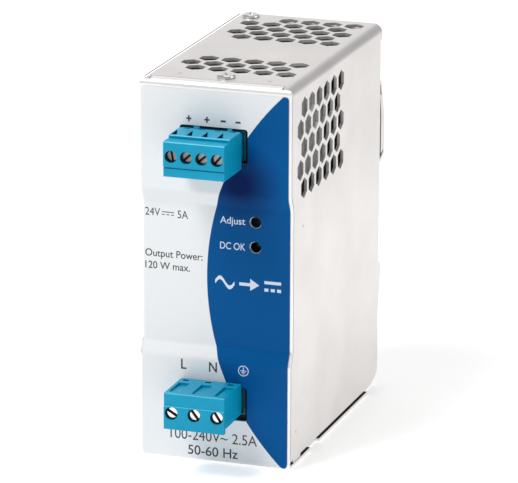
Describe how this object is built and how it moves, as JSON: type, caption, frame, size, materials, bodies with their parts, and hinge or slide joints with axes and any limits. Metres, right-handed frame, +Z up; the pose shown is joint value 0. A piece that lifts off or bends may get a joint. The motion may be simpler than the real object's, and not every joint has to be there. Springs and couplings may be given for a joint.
{
  "type": "din rail power supply",
  "caption": "Slim sheet-metal power supply for a 35 mm rail, with a stepped front, pull-off screw terminal plugs, hexagonal vents and a sprung rail latch.",
  "frame": {"origin": "centre of the rail seat: on the seat plate's back face, on the rail's centre line", "axes": "+Y out of the seat towards the rail (the front panel faces -Y), +Z up, +X to the right seen from the front"},
  "size_m": [0.05, 0.1218, 0.1247],
  "materials": {
    "cover_steel": "pale zinc-coated sheet, satin, slightly warm",
    "panel_steel": "pale zinc-coated sheet, satin",
    "label_film": "printed polyester film, blue field and pale grey field",
    "fastener_zinc": "bright zinc plate",
    "clip_steel": "zinc-coated sheet, satin",
    "spring_steel": "drawn wire",
    "plug_plastic": "moulded polyamide, teal, fine texture",
    "insulation_film": "clear-amber polycarbonate film",
    "circuit_board": "green solder mask on glass epoxy",
    "trimmer_plastic": "blue moulded body",
    "rotor_plastic": "white moulded rotor",
    "lamp_lens": "tinted green lens, unlit",
    "fuse_ceramic": "glazed ceramic tube",
    "thermistor_coat": "black lacquer",
    "varistor_coat": "blue epoxy dip",
    "film_capacitor_case": "yellow moulded case",
    "package_epoxy": "black moulding compound",
    "capacitor_sleeve": "dark shrink sleeve",
    "ferrite": "sintered ferrite, dark grey",
    "copper_wire": "enamelled copper wire",
    "powder_core": "yellow coated powder core",
    "heatsink_aluminium": "mill-finish sheet",
    "bobbin_plastic": "black moulded bobbin",
    "winding_tape": "yellow polyester tape",
    "output_screw_steel": "dark plated steel",
    "input_screw_zinc": "bright zinc plate",
    "clamp_steel": "plated steel"
  },
  "bodies": {
    "case": {"housing_cover": "cover_steel", "chassis": "panel_steel", "front_label": "label_film", "cover_screw_front": "fastener_zinc", "cover_screw_rear": "fastener_zinc", "rail_bracket": "clip_steel", "bracket_screw_left": "fastener_zinc", "bracket_screw_right": "fastener_zinc", "latch_spring": "spring_steel", "output_header": "plug_plastic", "input_header": "plug_plastic", "board_plate": "panel_steel", "insulation_sheet": "insulation_film", "main_board": "circuit_board", "front_board": "circuit_board", "control_board": "circuit_board", "trimmer_body": "trimmer_plastic", "status_led": "lamp_lens", "input_fuse": "fuse_ceramic", "inrush_thermistor": "thermistor_coat", "surge_varistor": "varistor_coat", "filter_capacitor": "film_capacitor_case", "bridge_rectifier": "package_epoxy", "bulk_capacitor": "capacitor_sleeve", "choke_core": "ferrite", "choke_winding_upper": "copper_wire", "choke_winding_lower": "copper_wire", "inductor_core": "powder_core", "inductor_winding": "copper_wire", "primary_heatsink": "heatsink_aluminium", "secondary_heatsink": "heatsink_aluminium", "switching_transistor": "package_epoxy", "output_rectifier": "package_epoxy", "transformer_core": "ferrite", "transformer_bobbin": "bobbin_plastic", "transformer_winding": "winding_tape", "output_capacitor_1": "capacitor_sleeve", "output_capacitor_2": "capacitor_sleeve", "board_screw_1": "fastener_zinc", "board_screw_2": "fastener_zinc", "board_screw_3": "fastener_zinc", "board_screw_4": "fastener_zinc"},
    "output_plug": {"output_plug": "plug_plastic"},
    "input_plug": {"input_plug": "plug_plastic"},
    "trimmer_rotor": {"trimmer_rotor": "rotor_plastic"},
    "rail_latch": {"rail_latch": "clip_steel"},
    "output_screw_1": {"output_screw_1": "output_screw_steel"},
    "output_cage_1": {"output_cage_1": "clamp_steel"},
    "output_screw_2": {"output_screw_2": "output_screw_steel"},
    "output_cage_2": {"output_cage_2": "clamp_steel"},
    "output_screw_3": {"output_screw_3": "output_screw_steel"},
    "output_cage_3": {"output_cage_3": "clamp_steel"},
    "output_screw_4": {"output_screw_4": "output_screw_steel"},
    "output_cage_4": {"output_cage_4": "clamp_steel"},
    "input_screw_1": {"input_screw_1": "input_screw_zinc"},
    "input_cage_1": {"input_cage_1": "clamp_steel"},
    "input_screw_2": {"input_screw_2": "input_screw_zinc"},
    "input_cage_2": {"input_cage_2": "clamp_steel"},
    "input_screw_3": {"input_screw_3": "input_screw_zinc"},
    "input_cage_3": {"input_cage_3": "clamp_steel"}
  },
  "joints": [
    {"name": "output_plug_pull", "type": "slide", "parent": "case", "child": "output_plug", "axis": [0, -1, 0], "range_m": [0, 0.02]},
    {"name": "input_plug_pull", "type": "slide", "parent": "case", "child": "input_plug", "axis": [0, -1, 0], "range_m": [0, 0.02]},
    {"name": "voltage_adjust", "type": "hinge", "parent": "case", "child": "trimmer_rotor", "pos_m": [0.0128, -0.0914, 0.0208], "axis": [0, 1, 0], "range_deg": [-130, 130]},
    {"name": "latch_slide", "type": "slide", "parent": "case", "child": "rail_latch", "axis": [0, 0, -1], "range_m": [0, 0.004], "stiffness_N_per_m": 1500, "springref_m": -0.004, "deforming": ["latch_spring"]},
    {"name": "output_screw_1_turn", "type": "hinge", "parent": "output_plug", "child": "output_screw_1", "pos_m": [-0.0083, -0.1126, 0.045], "axis": [0, 1, 0], "range_deg": [0, 1270]},
    {"name": "output_cage_1_lift", "type": "slide", "parent": "output_plug", "child": "output_cage_1", "axis": [0, -1, 0], "range_m": [0, 0.00175]},
    {"name": "output_screw_2_turn", "type": "hinge", "parent": "output_plug", "child": "output_screw_2", "pos_m": [-0.0033, -0.1126, 0.045], "axis": [0, 1, 0], "range_deg": [0, 1270]},
    {"name": "output_cage_2_lift", "type": "slide", "parent": "output_plug", "child": "output_cage_2", "axis": [0, -1, 0], "range_m": [0, 0.00175]},
    {"name": "output_screw_3_turn", "type": "hinge", "parent": "output_plug", "child": "output_screw_3", "pos_m": [0.0017, -0.1126, 0.045], "axis": [0, 1, 0], "range_deg": [0, 1270]},
    {"name": "output_cage_3_lift", "type": "slide", "parent": "output_plug", "child": "output_cage_3", "axis": [0, -1, 0], "range_m": [0, 0.00175]},
    {"name": "output_screw_4_turn", "type": "hinge", "parent": "output_plug", "child": "output_screw_4", "pos_m": [0.0067, -0.1126, 0.045], "axis": [0, 1, 0], "range_deg": [0, 1270]},
    {"name": "output_cage_4_lift", "type": "slide", "parent": "output_plug", "child": "output_cage_4", "axis": [0, -1, 0], "range_m": [0, 0.00175]},
    {"name": "input_screw_1_turn", "type": "hinge", "parent": "input_plug", "child": "input_screw_1", "pos_m": [-0.0083, -0.1134, -0.038], "axis": [0, 1, 0], "range_deg": [0, 1270]},
    {"name": "input_cage_1_lift", "type": "slide", "parent": "input_plug", "child": "input_cage_1", "axis": [0, -1, 0], "range_m": [0, 0.00175]},
    {"name": "input_screw_2_turn", "type": "hinge", "parent": "input_plug", "child": "input_screw_2", "pos_m": [-0.0008, -0.1134, -0.038], "axis": [0, 1, 0], "range_deg": [0, 1270]},
    {"name": "input_cage_2_lift", "type": "slide", "parent": "input_plug", "child": "input_cage_2", "axis": [0, -1, 0], "range_m": [0, 0.00175]},
    {"name": "input_screw_3_turn", "type": "hinge", "parent": "input_plug", "child": "input_screw_3", "pos_m": [0.0067, -0.1134, -0.038], "axis": [0, 1, 0], "range_deg": [0, 1270]},
    {"name": "input_cage_3_lift", "type": "slide", "parent": "input_plug", "child": "input_cage_3", "axis": [0, -1, 0], "range_m": [0, 0.00175]}
  ],
  "couplings": [
    {"joint": "output_screw_1_turn", "follows": "output_cage_1_lift", "rad_per_m": 12566},
    {"joint": "output_screw_2_turn", "follows": "output_cage_2_lift", "rad_per_m": 12566},
    {"joint": "output_screw_3_turn", "follows": "output_cage_3_lift", "rad_per_m": 12566},
    {"joint": "output_screw_4_turn", "follows": "output_cage_4_lift", "rad_per_m": 12566},
    {"joint": "input_screw_1_turn", "follows": "input_cage_1_lift", "rad_per_m": 12566},
    {"joint": "input_screw_2_turn", "follows": "input_cage_2_lift", "rad_per_m": 12566},
    {"joint": "input_screw_3_turn", "follows": "input_cage_3_lift", "rad_per_m": 12566}
  ]
}
